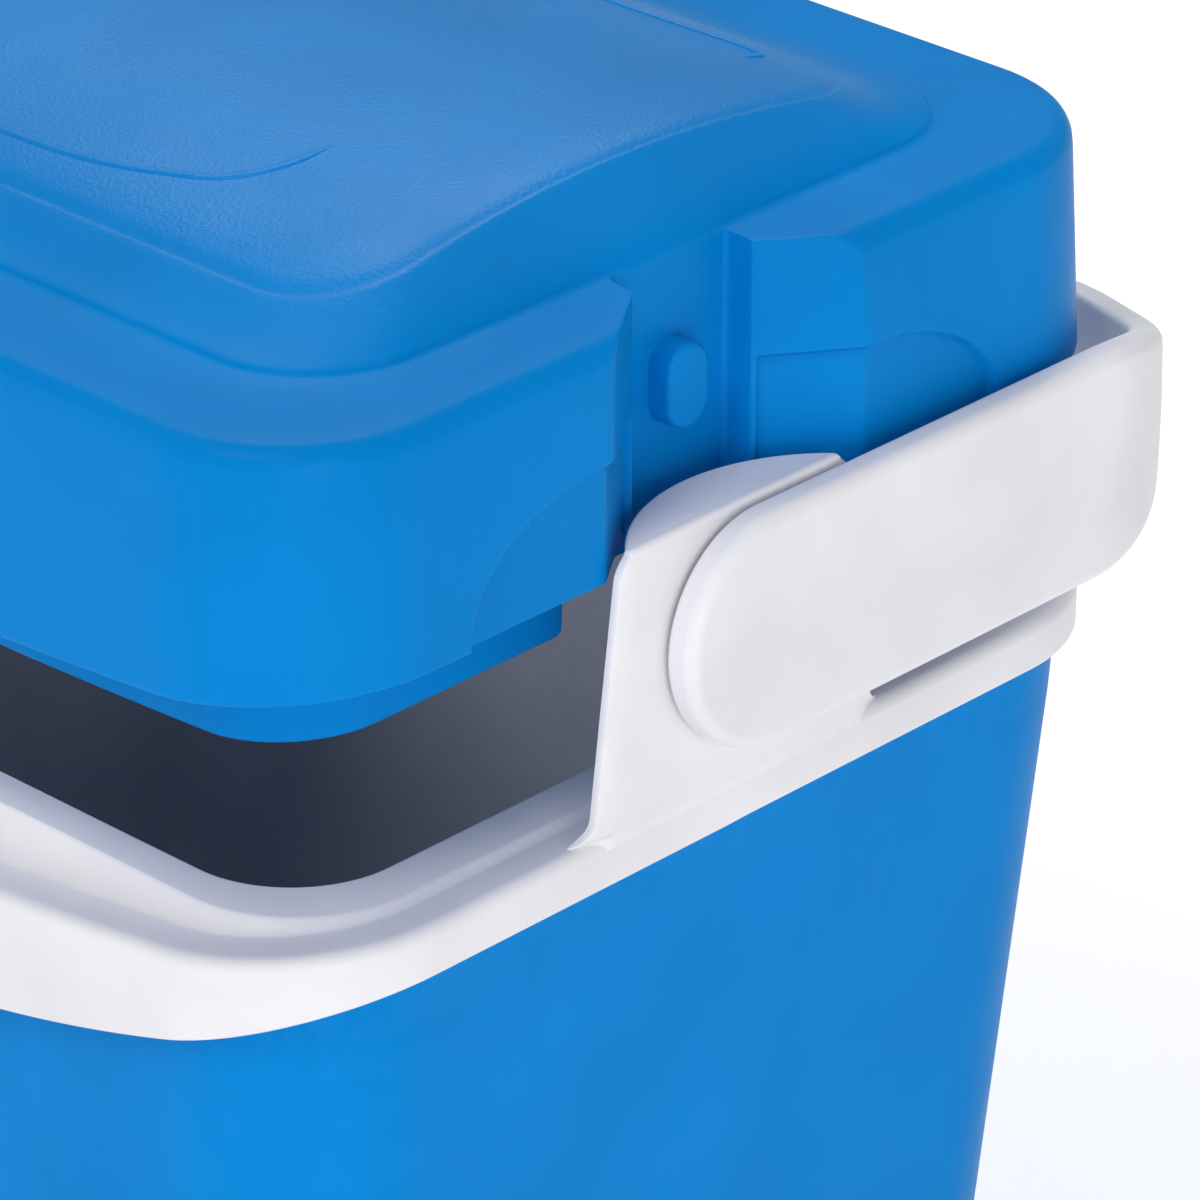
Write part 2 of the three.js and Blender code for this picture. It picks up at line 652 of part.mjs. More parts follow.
function hub() {
  const flat = ARM_HALF_WIDTH - STRAP_ROUND;
  const face = ARM_OUTER_X + 0.2;
  const outerEdge = [];
  for (let i = 0; i <= STRAP_ROUND_STEPS; i += 1) {
    const a = (i / STRAP_ROUND_STEPS) * (Math.PI / 2);
    outerEdge.push([flat + STRAP_ROUND * Math.cos(a), face - STRAP_ROUND * (1 - Math.sin(a))]);
  }
  const disc = turnedX([
    [0, ARM_INNER_X],
    [flat + 1, ARM_INNER_X],
    [ARM_HALF_WIDTH, ARM_INNER_X + 2.6],
    ...outerEdge,
    [0, ARM_OUTER_X + 0.8],
  ], 0, PIVOT_Z);
  const peg = turnedX([
    [0, COUNTERBORE_X - 4.4],
    [PEG_HEAD_R - 1.6, COUNTERBORE_X - 4.4],
    [PEG_HEAD_R, COUNTERBORE_X - 2.4],
    [PEG_HEAD_R, COUNTERBORE_X - GAP],
    [PEG_R, COUNTERBORE_X - GAP],
    [PEG_R, ARM_INNER_X + 2],
    [0, ARM_INNER_X + 2],
  ], 0, PIVOT_Z);
  return disc.add(peg);
}

function handle() {
  return toGeometry(handleStrap().add(bothEnds(hub())));
}

// ---- assembly ------------------------------------------------------------------------------
const BLUE = 0x0885d6;
const WHITE = 0xe9e8ec;
const GREY = 0xbcbec6;
const FOAM = 0xf1efe6;

function piece(name, geometry, color, roughness) {
  const material = new THREE.MeshStandardMaterial({ color, roughness, metalness: 0 });
  const mesh = new THREE.Mesh(geometry, material);
  mesh.name = name;
  return mesh;
}

const cooler = new THREE.Group();
cooler.name = 'cooler_chest';
cooler.add(
  piece('tub_outer_shell', toGeometry(solid(tubShell())), BLUE, 0.42),
  piece('tub_foam_core', toGeometry(solid(tubFoam())), FOAM, 0.9),
  piece('tub_inner_liner', toGeometry(solid(tubLiner())), GREY, 0.5),
  piece('rim_collar', rimCollar(), WHITE, 0.4),
  piece('lid_outer_shell', lidShell(), BLUE, 0.42),
  piece('lid_foam_core', lidFoam(), FOAM, 0.9),
  piece('lid_plug_panel', lidPanel(), BLUE, 0.45),
  piece('carry_handle', handle(), WHITE, 0.38),
);

export default cooler;
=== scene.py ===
"""Looks for the cooler chest: finely rounded mouldings, plastics, soft light and the camera.

Lengths in the shape code are millimetres, in the CAD's frame. They become metres when a mesh
is made.
"""
import json
import math

import bmesh
import bpy
import numpy as np
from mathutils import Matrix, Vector
from mathutils.bvhtree import BVHTree


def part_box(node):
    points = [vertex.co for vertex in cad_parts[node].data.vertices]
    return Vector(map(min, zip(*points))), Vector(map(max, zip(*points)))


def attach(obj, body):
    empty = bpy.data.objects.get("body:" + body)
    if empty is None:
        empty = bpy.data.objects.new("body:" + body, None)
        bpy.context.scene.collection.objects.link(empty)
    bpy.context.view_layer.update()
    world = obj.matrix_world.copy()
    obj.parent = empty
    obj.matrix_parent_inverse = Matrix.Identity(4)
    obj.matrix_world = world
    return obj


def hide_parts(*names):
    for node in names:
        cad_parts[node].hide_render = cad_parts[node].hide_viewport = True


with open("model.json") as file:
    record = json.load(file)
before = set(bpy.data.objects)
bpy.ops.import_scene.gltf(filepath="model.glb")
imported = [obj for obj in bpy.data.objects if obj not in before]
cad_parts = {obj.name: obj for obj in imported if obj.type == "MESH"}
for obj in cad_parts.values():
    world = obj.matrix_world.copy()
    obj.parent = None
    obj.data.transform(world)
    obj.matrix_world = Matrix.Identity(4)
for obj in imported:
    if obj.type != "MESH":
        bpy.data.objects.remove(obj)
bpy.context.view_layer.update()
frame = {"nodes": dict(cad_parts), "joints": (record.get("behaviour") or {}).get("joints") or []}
MM = 0.001


def box_mm(node):
    """Lowest and highest corner of a CAD node, in millimetres."""
    return [np.round(np.array(corner) / MM, 2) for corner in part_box(node)]


# ---- camera ---------------------------------------------------------------------------------
CAMERA_PLACE = (1.158165, -1.052457, 1.068838)
CAMERA_DOWN = 26.952            # degrees below the horizon
CAMERA_TURN = 43.782            # degrees about Z
CAMERA_LENS = 206.83
CAMERA_SENSOR = 36


def add_camera():
    camera = bpy.data.objects.new("camera", bpy.data.cameras.new("camera"))
    camera.location = CAMERA_PLACE
    camera.rotation_euler = (math.radians(90 - CAMERA_DOWN), 0, math.radians(CAMERA_TURN))
    camera.data.sensor_width = CAMERA_SENSOR
    camera.data.lens = CAMERA_LENS
    camera.data.clip_start = 0.05
    camera.data.clip_end = 50
    bpy.context.scene.collection.objects.link(camera)
    bpy.context.scene.camera = camera


add_camera()

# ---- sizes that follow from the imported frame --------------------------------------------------
COLLAR_HIGH = box_mm("rim_collar")[1]
LID_HIGH = box_mm("lid_outer_shell")[1]
HANDLE_HIGH = box_mm("carry_handle")[1]
HINGE = [j for j in frame["joints"] if j["name"] == "handle_swing"][0]

RIM_X, RIM_Y = COLLAR_HIGH[0], COLLAR_HIGH[1]
UPSTAND_HEIGHT = 71
UPSTAND_TOP = COLLAR_HIGH[2]
RIM_Z = UPSTAND_TOP - UPSTAND_HEIGHT
RIM_R = 44
LID_X, LID_Y = LID_HIGH[0], LID_HIGH[1]
LID_R = 44
LID_CROWN = 83.4                # height of the lid's top above its skirt's lower edge
CROWN_CURVE = 0.0014            # fall of the crown, times the square of Y
LID_Z = LID_HIGH[2] - LID_CROWN
PIVOT_Z = HINGE["pos_m"][2] / MM
ARM_X = HANDLE_HIGH[0] - 0.8    # the arms' crowned faces stand out a little further
GRIP_Y = HANDLE_HIGH[1]


# ---- numbers and curves -----------------------------------------------------------------------
def smoothstep(t):
    t = np.clip(t, 0, 1)
    return t * t * (3 - 2 * t)


def softmin(a, b, k):
    """The smaller of a and b, with the crease between them rounded over about k."""
    h = np.clip(0.5 + 0.5 * (b - a) / k, 0, 1)
    return b + (a - b) * h - k * h * (1 - h)


def rounded_path(points, radii, steps=6):
    """An open polyline with an arc of the given radius at each inner corner."""
    path = [np.array(points[0], float)]
    for i in range(1, len(points) - 1):
        p, a, b = (np.array(points[k], float) for k in (i, i - 1, i + 1))
        u = (a - p) / np.linalg.norm(a - p)
        v = (b - p) / np.linalg.norm(b - p)
        half = math.acos(float(np.clip(u @ v, -1, 1))) / 2
        reach = radii[i - 1] / math.tan(half)
        centre = p + (u + v) / np.linalg.norm(u + v) * radii[i - 1] / math.sin(half)
        start, end = p + u * reach - centre, p + v * reach - centre
        for s in range(steps + 1):
            t = s / steps
            blend = start * math.cos(t * math.pi / 2) + end * math.sin(t * math.pi / 2)
            path.append(centre + blend / np.linalg.norm(blend) * radii[i - 1])
    path.append(np.array(points[-1], float))
    return np.array(path)


def smooth_rows(rows, per_row):
    """Rows of numbers joined by a Catmull-Rom spline, per_row samples between two rows."""
    rows = np.array(rows, float)
    padded = np.vstack([2 * rows[0] - rows[1], rows, 2 * rows[-1] - rows[-2]])
    out = []
    for i in range(1, len(padded) - 2):
        p0, p1, p2, p3 = padded[i - 1:i + 3]
        for s in range(per_row):
            t = s / per_row
            out.append(0.5 * (2 * p1 + (p2 - p0) * t + (2 * p0 - 5 * p1 + 4 * p2 - p3) * t ** 2
                              + (3 * p1 - p0 - 3 * p2 + p3) * t ** 3))
    out.append(rows[-1])
    return out


# ---- meshes -----------------------------------------------------------------------------------
class Shape:
    """Vertices and faces that are gathered from several lofts into one mesh."""

    def __init__(self):
        self.points = []
        self.faces = []

    def loft(self, rings, loop=False, caps=(True, True)):
        """Joins rings of equal length: a closed loop of rings, or a stack with flat caps."""
        n = len(rings[0])
        base = len(self.points)
        for r in rings:
            self.points.extend(tuple(p) for p in np.asarray(r) * MM)
        last = len(rings) if loop else len(rings) - 1
        for k in range(last):
            a = base + k * n
            b = base + ((k + 1) % len(rings)) * n
            for i in range(n):
                j = (i + 1) % n
                self.faces.append((a + i, a + j, b + j, b + i))
        if not loop and caps[0]:
            self.faces.append(tuple(base + i for i in reversed(range(n))))
        if not loop and caps[1]:
            top = base + (len(rings) - 1) * n
            self.faces.append(tuple(top + i for i in range(n)))

    def strip(self, rows):
        """Joins open rows of equal length into a sheet."""
        n = len(rows[0])
        base = len(self.points)
        for r in rows:
            self.points.extend(tuple(p) for p in np.asarray(r) * MM)
        for k in range(len(rows) - 1):
            a, b = base + k * n, base + (k + 1) * n
            for i in range(n - 1):
                self.faces.append((a + i, a + i + 1, b + i + 1, b + i))

    def piece(self, name, body, material, replaces, sharp=38):
        mesh = bpy.data.meshes.new(name)
        mesh.from_pydata(self.points, [], self.faces)
        work = bmesh.new()
        work.from_mesh(mesh)
        bmesh.ops.remove_doubles(work, verts=work.verts, dist=2e-6)
        bmesh.ops.dissolve_degenerate(work, edges=work.edges, dist=1e-6)
        bmesh.ops.recalc_face_normals(work, faces=work.faces)
        work.to_mesh(mesh)
        work.free()
        mesh.materials.append(material)
        mesh.shade_smooth()
        mesh.set_sharp_from_angle(angle=math.radians(sharp))
        obj = bpy.data.objects.new(name, mesh)
        bpy.context.scene.collection.objects.link(obj)
        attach(obj, body)
        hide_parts(*replaces)
        return obj


def around(quarter):
    """A full outline from its +X +Y quarter, which runs from the end's middle to the side's."""
    q = np.array(quarter)
    parts = [
        q[:-1],
        (q * (-1, 1))[::-1][:-1],
        (q * (-1, -1))[:-1],
        (q * (1, -1))[::-1][:-1],
    ]
    return np.vstack(parts)


def rounded_rectangle(half_x, half_y, radius, corner=22, end=16, side=40):
    """Outline with fixed stations."""
    straight = half_y - radius
    quarter = [(half_x, straight * i / end) for i in range(end)]
    for i in range(corner + 1):
        a = i / corner * math.pi / 2
        quarter.append((half_x - radius + radius * math.cos(a), straight + radius * math.sin(a)))
    quarter += [((half_x - radius) * (1 - i / side), half_y) for i in range(1, side + 1)]
    return around(np.array(quarter))


def at_height(outline, z):
    """Outline points with a height, which is one number or one for each point."""
    return np.column_stack([outline, np.broadcast_to(z, len(outline))])


def front_share(outline):
    """1 at the middle of the front, falling to 0 round its corners, 0 elsewhere."""
    share = np.clip(1 - (outline[:, 0] / RIM_X) ** 2, 0, None)
    return np.where(outline[:, 1] < 0, share, 0)


# ---- materials --------------------------------------------------------------------------------
def plastic(name, colour, rough, grain, stipple_above=None, specular=0.2):
    """A moulded plastic: uneven tone and gloss, fine grain, paler worn edges."""
    material = bpy.data.materials.new(name)
    material.use_nodes = True
    nodes, links = material.node_tree.nodes, material.node_tree.links
    shader = nodes["Principled BSDF"]
    shader.inputs["IOR"].default_value = 1.49
    shader.inputs["Specular IOR Level"].default_value = specular
    coords = nodes.new("ShaderNodeTexCoord").outputs["Object"]

    def noise(scale, detail):
        node = nodes.new("ShaderNodeTexNoise")
        node.inputs["Scale"].default_value = scale
        node.inputs["Detail"].default_value = detail
        links.new(coords, node.inputs["Vector"])
        return node.outputs["Fac"]

    def remap(value, low, high, to_low, to_high):
        node = nodes.new("ShaderNodeMapRange")
        for key, number in zip(("From Min", "From Max", "To Min", "To Max"),
                               (low, high, to_low, to_high)):
            node.inputs[key].default_value = number
        links.new(value, node.inputs["Value"])
        return node.outputs["Result"]

    def mix(factor, a, b):
        node = nodes.new("ShaderNodeMix")
        node.data_type = "RGBA"
        links.new(factor, node.inputs["Factor"])
        for socket, value in ((node.inputs["A"], a), (node.inputs["B"], b)):
            if isinstance(value, tuple):
                socket.default_value = (*value, 1)
            else:
                links.new(value, socket)
        return node.outputs["Result"]

    def product(a, b):
        node = nodes.new("ShaderNodeMath")
        node.operation = "MULTIPLY"
        for socket, value in zip(node.inputs, (a, b)):
            if isinstance(value, float):
                socket.default_value = value
            else:
                links.new(value, socket)
        return node.outputs["Value"]

    darker = tuple(c * 0.93 for c in colour)
    lighter = tuple(min(1, c * 1.05 + 0.0005) for c in colour)
    tone = mix(remap(noise(14, 3), 0.35, 0.65, 0, 1), darker, lighter)
    worn = tuple(min(1, c * 1.12 + 0.01) for c in colour)
    edge = nodes.new("ShaderNodeNewGeometry").outputs["Pointiness"]
    wear = product(remap(edge, 0.512, 0.545, 0.0, 0.35), remap(noise(160, 4), 0.4, 0.6, 0.3, 1))
    links.new(mix(wear, tone, worn), shader.inputs["Base Color"])
    gloss = remap(noise(40, 4), 0.3, 0.7, rough - 0.05, rough + 0.06)
    links.new(gloss, shader.inputs["Roughness"])

    bump = nodes.new("ShaderNodeBump")
    bump.inputs["Distance"].default_value = 0.0002
    bump.inputs["Strength"].default_value = grain
    links.new(noise(1500, 3), bump.inputs["Height"])
    if stipple_above is not None:
        split = nodes.new("ShaderNodeSeparateXYZ")
        links.new(coords, split.inputs["Vector"])
        mask = remap(split.outputs["Z"], stipple_above - 0.004, stipple_above + 0.002, 0.0, 1.0)
        links.new(remap(mask, 0, 1, specular, 0.16), shader.inputs["Specular IOR Level"])
        stipple = nodes.new("ShaderNodeBump")
        stipple.inputs["Distance"].default_value = 0.0004
        stipple.inputs["Strength"].default_value = 0.5
        links.new(product(noise(900, 4), mask), stipple.inputs["Height"])
        links.new(bump.outputs["Normal"], stipple.inputs["Normal"])
        bump = stipple
    links.new(bump.outputs["Normal"], shader.inputs["Normal"])
    return material


BLUE_COLOUR = (0.0004, 0.216, 0.615)
WHITE_COLOUR = (0.80, 0.79, 0.83)
LINER_COLOUR = (0.52, 0.54, 0.60)
FOAM_COLOUR = (0.88, 0.87, 0.80)
blue = plastic("blue_plastic", BLUE_COLOUR, 0.40, 0.18, None, 0.03)
blue_lid = plastic("blue_lid_plastic", BLUE_COLOUR, 0.38, 0.2, (LID_Z + 68) * MM, 0.04)
white = plastic("white_plastic", WHITE_COLOUR, 0.36, 0.1)
grey = plastic("liner_plastic", LINER_COLOUR, 0.45, 0.15)
foam = plastic("insulating_foam", FOAM_COLOUR, 0.9, 1.0)

for core in ("tub_foam_core", "lid_foam_core"):
    for material_slot in frame["nodes"][core].material_slots:
        material_slot.material = foam

# ---- tub --------------------------------------------------------------------------------------
QUARTER = math.pi / 2
BODY_DRAFT = math.tan(math.radians(4.4))
LINER_DRAFT = math.tan(math.radians(2.2))
BAND_ENDS = 12.7
BAND_DROP = 41
SCOOP_DROP = 17
SCOOP_POWER = 1.25              # shape of the scoop's dip along the front
TUB_TOP = RIM_Z - 4.3
TUB_INSET = 4
TUB_WALL = 2.5
HEEL_Z = 2.2                    # height and inset of the rounding under the tub
HEEL_INSET = 3
FOOT_WIDTH = 12                 # flat ring the tub stands on, and how far in it starts
FOOT_INSET = 8
GROOVE = 3                      # depth of the groove inside the foot ring, and how wide it is
GROOVE_END = 62
LINER_FLOOR = 34
LINER_WALL = 2
LINER_BEND = 8
LINER_FLANGE = 17.6             # inset of the liner's flange from the collar's outline


def body_ring(z, offset, drop=0):
    """The tub's outline at the height z, moved in by offset."""
    inset = TUB_INSET + max(0, RIM_Z - BAND_ENDS - z) * BODY_DRAFT + offset
    radius = max(RIM_R - 2.5 - 0.35 * (inset - TUB_INSET), 4)
    outline = rounded_rectangle(RIM_X - inset, RIM_Y - inset, radius)
    return at_height(outline, z - drop * front_share(outline) ** SCOOP_POWER)


def tub_shell():
    shape = Shape()
    inner_foot = FOOT_INSET + FOOT_WIDTH
    under = [
        body_ring(0, GROOVE_END),
        body_ring(GROOVE, GROOVE_END - GROOVE),
        body_ring(GROOVE, inner_foot + GROOVE),
        body_ring(0, inner_foot),
        body_ring(0, FOOT_INSET),
    ]
    turn = [body_ring(HEEL_Z * (1 - math.cos(a)),
                      FOOT_INSET - (FOOT_INSET - HEEL_INSET) * math.sin(a))
            for a in np.linspace(0.2, QUARTER, 6)]
    heel = [body_ring(HEEL_Z + 5.8 * t, HEEL_INSET * (1 - math.sin(t * QUARTER)))
            for t in np.linspace(0, 1, 8)[1:]]
    shape.loft([
        *under,
        *turn,
        *heel,
        body_ring(150, 0),
        body_ring(270, 0),
        body_ring(TUB_TOP, 0, SCOOP_DROP),
        body_ring(TUB_TOP, TUB_WALL, SCOOP_DROP),
        body_ring(260, TUB_WALL),
        body_ring(150, TUB_WALL),
        body_ring(11.5, TUB_WALL),
        body_ring(6.5, TUB_WALL + 5),
    ])
    return shape.piece("tub_shell", "tub", blue, ["tub_outer_shell"])


def rim_outline(inset, extra_x=0):
    radius = max(RIM_R - inset * 0.62, 4)
    return rounded_rectangle(RIM_X - inset - extra_x, RIM_Y - inset, radius)


def liner_ring(z, offset):
    inset = 24 + (TUB_TOP - z) * LINER_DRAFT + offset
    return at_height(rim_outline(inset, 1.7), z)


def tub_liner():
    shape = Shape()
    inside = [liner_ring(LINER_FLOOR + LINER_BEND * (1 - math.sin(a)),
                         LINER_BEND * (1 - math.cos(a)))
              for a in np.linspace(0, QUARTER, 9)]
    outside = [liner_ring(LINER_FLOOR - LINER_WALL + LINER_BEND * (1 - math.sin(a)),
                          LINER_BEND * (1 - math.cos(a)) - LINER_WALL * math.cos(a))
               for a in np.linspace(QUARTER, 0, 9)]
    shape.loft([
        *outside,
        liner_ring(TUB_TOP - LINER_WALL, -LINER_WALL),
        at_height(rim_outline(LINER_FLANGE), TUB_TOP - LINER_WALL),
        at_height(rim_outline(LINER_FLANGE), TUB_TOP),
        liner_ring(TUB_TOP, 0),
        liner_ring(170, 0),
        *inside,
    ])
    return shape.piece("tub_liner", "tub", grey, ["tub_inner_liner"])


# ---- collar -----------------------------------------------------------------------------------
OPENING_INSET = (28.2, 26.5)    # the mouth's edge, in from the collar's face along X and Y
BAND_EDGE = 3.4                 # rounding of the band's upper edge
LOW_EDGE = 0.9
MOUTH_EDGE = 1.8


def collar_ring(shape):
    def ring(inset, z, drop=0.0, power=SCOOP_POWER):
        outline = rim_outline(inset)
        return at_height(outline, RIM_Z + z - drop * front_share(outline) ** power)

    def opening(inset, z):
        half_x, half_y = RIM_X - OPENING_INSET[0] + inset, RIM_Y - OPENING_INSET[1] + inset
        return at_height(rounded_rectangle(half_x, half_y, 30 + inset), RIM_Z + z)

    arc = np.linspace(0, QUARTER, 8)
    shape.loft([
        ring(3, -BAND_ENDS + 0.5, BAND_DROP, 1),
        ring(2.4, -BAND_ENDS, BAND_DROP, 1),
        *[ring(LOW_EDGE * (1 - math.sin(a)), LOW_EDGE * (1 - math.cos(a)) - BAND_ENDS,
               BAND_DROP, 1) for a in arc],
        *[ring(BAND_EDGE * (1 - math.cos(a)), -BAND_EDGE * (1 - math.sin(a)), SCOOP_DROP)
          for a in arc],
        ring(7, 0, SCOOP_DROP),
        *[ring(11.2 + 4.6 * t, 0, SCOOP_DROP * (1 - float(smoothstep(t))))
          for t in np.linspace(0, 1, 12)],
        *[opening(MOUTH_EDGE * (1 - math.sin(a)), -MOUTH_EDGE * (1 - math.cos(a))) for a in arc],
        opening(0, -8.6),
        opening(0.4, -9),
        opening(MOUTH_EDGE, -9),
        opening(MOUTH_EDGE, -4),
        ring(17, -4),
        ring(15, -4, SCOOP_DROP),
        ring(3.4, -4, SCOOP_DROP),
        ring(3, -4.6, SCOOP_DROP),
    ], loop=True)


UPSTAND_Y = -4
UPSTAND_LOW, UPSTAND_HIGH = 48, 38.5    # half its length along Y, at its foot and at its top
UPSTAND_ROUND = 7
UPSTAND_EDGE = 1.3
LENS_R = 47.8                   # the boss behind the plate is a slice of this radius
LENS_DEPTH = 18
LENS_HALF = 40
PLATE = 2.2
FLARE = 6                       # spread of the foot along Y, and how far in its ends sink
FLARE_SINK = 3.6
FOOT_RADIUS = 16                # fillet between the boss and the ledge
FOOT_HALF = 19


def flare_at(z):
    """How far the upstand's foot spreads along Y at the height z."""
    low = min(max(1 - (z - RIM_Z) / FLARE, 0), 1)
    return FLARE * (1 - math.sqrt(max(0.0, 1 - low ** 2)))


def upstand_half(z):
    """Half the upstand's length along Y at the height z, with its rounded top corners."""
    up = np.clip((z - RIM_Z) / UPSTAND_HEIGHT, 0, 1)
    rise = np.clip(z - (UPSTAND_TOP - UPSTAND_ROUND), 0, UPSTAND_ROUND)
    rounded = UPSTAND_ROUND - math.sqrt(max(0.0, UPSTAND_ROUND ** 2 - rise ** 2))
    return UPSTAND_LOW + (UPSTAND_HIGH - UPSTAND_LOW) * up - rounded + flare_at(z)


def upstand_plan(z, inset, steps=60):
    """The upstand's outline at the height z: the boss inside, then the plate's ends and face."""
    half = upstand_half(z) - inset
    outer = RIM_X - inset
    y = np.linspace(half, -half, steps)
    lens = RIM_X - LENS_DEPTH + LENS_R - np.sqrt(np.clip(LENS_R ** 2 - y ** 2, 0, None))
    lens = np.where(np.abs(y) < LENS_HALF, lens, RIM_X)
    inner = softmin(lens, np.full(steps, RIM_X - PLATE), 1.2) + inset
    r = 0.8
    front = [(inner[-1] + 0.5, -half), (outer - r, -half), (outer - 0.25, -half + 0.25),
             (outer, -half + r)]
    rear = [(x, -yy) for x, yy in reversed(front)]
    along = [(outer, yy) for yy in np.linspace(-half + r, half - r, 12)[1:-1]]
    plan = np.array([*zip(inner, y), *front, *along, *rear])
    flare = flare_at(z)
    spread = smoothstep((np.abs(plan[:, 1]) - half + flare + 2) / (flare + 2))
    sunk = plan[:, 0] - FLARE_SINK * spread * flare / FLARE
    plan[:, 0] = np.maximum(sunk, np.minimum(plan[:, 0], ARCH_FACE + 0.5))
    return plan + (0, UPSTAND_Y)


def upstand(shape, side):
    edge_z = UPSTAND_TOP - UPSTAND_EDGE
    heights = [RIM_Z - 3, *np.linspace(RIM_Z + 0.1, RIM_Z + FLARE, 10),
               *np.linspace(RIM_Z + 14, UPSTAND_TOP - 8, 6),
               *np.linspace(UPSTAND_TOP - UPSTAND_ROUND, edge_z, 8)]
    rings = [at_height(upstand_plan(z, 0), z) for z in heights]
    for a in np.linspace(0, QUARTER, 6)[1:]:
        plan = upstand_plan(edge_z, UPSTAND_EDGE * (1 - math.cos(a)))
        rings.append(at_height(plan, edge_z + UPSTAND_EDGE * math.sin(a)))
    shape.loft([r * (side, 1, 1) for r in rings])
    foot = []
    start = RIM_X - OPENING_INSET[0]
    for y in np.linspace(-FOOT_HALF, FOOT_HALF, 9):
        arc = [(start + 0.6 + FOOT_RADIUS * math.sin(a), RIM_Z + FOOT_RADIUS * (1 - math.cos(a)))
               for a in np.linspace(0, QUARTER, 12)]
        section = [(start + 0.4, RIM_Z - 0.5), *arc, (RIM_X - 5, RIM_Z + 22),
                   (RIM_X - 5, RIM_Z - 0.5)]
        foot.append([(side * x, y, z) for x, z in section])
    shape.loft(foot)


def collar():
    shape = Shape()
    collar_ring(shape)
    upstand(shape, 1)
    upstand(shape, -1)
    return shape.piece("collar", "tub", white, ["rim_collar"])


# ---- lid --------------------------------------------------------------------------------------
CHANNEL_X = 171                 # floor of the slot in the lid's ends
CHANNEL_EDGE = 178.9            # its mouth, and the slope of the panels beside it
CHANNEL_HALF = 20
CHANNEL_SLOPE = (196 - CHANNEL_EDGE) / 24.5
SKIRT_TOP = 52
SKIRT_LEAN = 2.2
LID_DROP = 11.5
ARCH_FACE = 193.2               # shallow arches beside the slots: face, flat half, run, height
ARCH_FLAT = 45
ARCH_RUN = 44
ARCH_HEIGHT = 30
NEAR = 48                       # |Y| up to which the outline is sampled finely
LID_WALL = 2.8
NUB_HALF_WIDTH = 6.8
NUB_HALF_HEIGHT = 10.75
NUB_FACE = 178.4
NUB_ROUND = 1.6
NUB_Z = 29.7
LINE_WIDTH, LINE_HEIGHT = 2.2, 0.6      # raised curves on the lid's top
PLUG = (167.6, 119.4, 28.5)     # half length, half width and corner radius of the plug
NOTCH_HALF = 29
NOTCH_X = 152
PLUG_DEPTH = 26
PLUG_DROP = 8
PLUG_ROUND = 2.2
PLUG_DRAFT = 0.8
# half length, half width, corner radius, height above the skirt's lower edge, share of the arch
LID_PROFILE = [
    (LID_X - SKIRT_LEAN, LID_Y - SKIRT_LEAN, 43, SKIRT_TOP, 0),
    (LID_X - 2.9, LID_Y - 2.9, 42, 55.5, 0),
    (LID_X - 5, LID_Y - 5, 40, 58.4, 0),
    (LID_X - 9, LID_Y - 9.5, 37, 59.6, 0),
    (177, 120, 33, 60.3, 0),
    (170.5, 113, 31, 61.2, 0),
    (168, 109.5, 30, 64.4, 0.1),
    (157.5, 94, 27, 78.5, 0.83),
    (154.5, 91, 25, 80.8, 1),
    (151, 87.5, 23, 82, 1),
    (145, 82, 20, 82.7, 1),
]


def channel_path(grow):
    """Half the end slot's outline as (y, x), grown into the lid by the wall's thickness."""
    corner = (CHANNEL_HALF - 0.5 + 0.8 * grow, CHANNEL_X - grow)
    mouth = (CHANNEL_HALF + grow, CHANNEL_EDGE - 0.7 * grow)
    reach = NEAR - mouth[0]
    far = (NEAR, mouth[1] + reach * CHANNEL_SLOPE)
    path = rounded_path([(0, CHANNEL_X - grow), corner, mouth, far], (1.6, 1.0))
    floor = [(path[1][0] * i / 6, CHANNEL_X - grow) for i in range(6)]
    panel = [path[-2] + (path[-1] - path[-2]) * i / 30 for i in range(1, 31)]
    wall_from, wall_to = path[7], path[8]
    wall = [wall_from + (wall_to - wall_from) * i / 6 for i in range(1, 6)]
    return np.array([*floor, *path[1:8], *wall, *path[8:-1], *panel])


def lid_outline(half_x, half_y, radius, z, grow=0.0, beyond=52):
    """The lid's outline at the height z above its lower edge, with slots and arches."""
    slot = channel_path(grow)
    further = NEAR + (half_y - radius - NEAR) * np.arange(1, beyond) / beyond
    y = np.concatenate([slot[:, 0], further])
    slot_x = np.concatenate([
        slot[:, 1], slot[-1, 1] + (y[len(slot):] - NEAR) * CHANNEL_SLOPE])
    x = softmin(np.full(len(y), float(half_x)), slot_x, 1.1)
    recess = np.minimum(ARCH_FACE - grow, slot_x - 2.24)
    over = np.clip((y - ARCH_FLAT) / (ARCH_RUN + grow), 0, None)
    reach = (1 - np.sqrt(over ** 2 + (max(z, 0) / (ARCH_HEIGHT + grow)) ** 2)) * 34
    inside = smoothstep(reach / 1.1 + 0.5) * smoothstep((y - CHANNEL_HALF - 1 - grow) / 1.2)
    x = x - inside * np.clip(x - recess, 0, None)
    end = np.column_stack([x, y])
    angles = np.linspace(0, math.pi / 2, 25)
    corner = np.column_stack([
        half_x - radius + radius * np.cos(angles), half_y - radius + radius * np.sin(angles)])
    side = np.column_stack([
        (half_x - radius) * (1 - np.arange(1, 41) / 40), np.full(40, half_y)])
    rest = np.vstack([corner, side])
    return around(np.vstack([end, rest]))


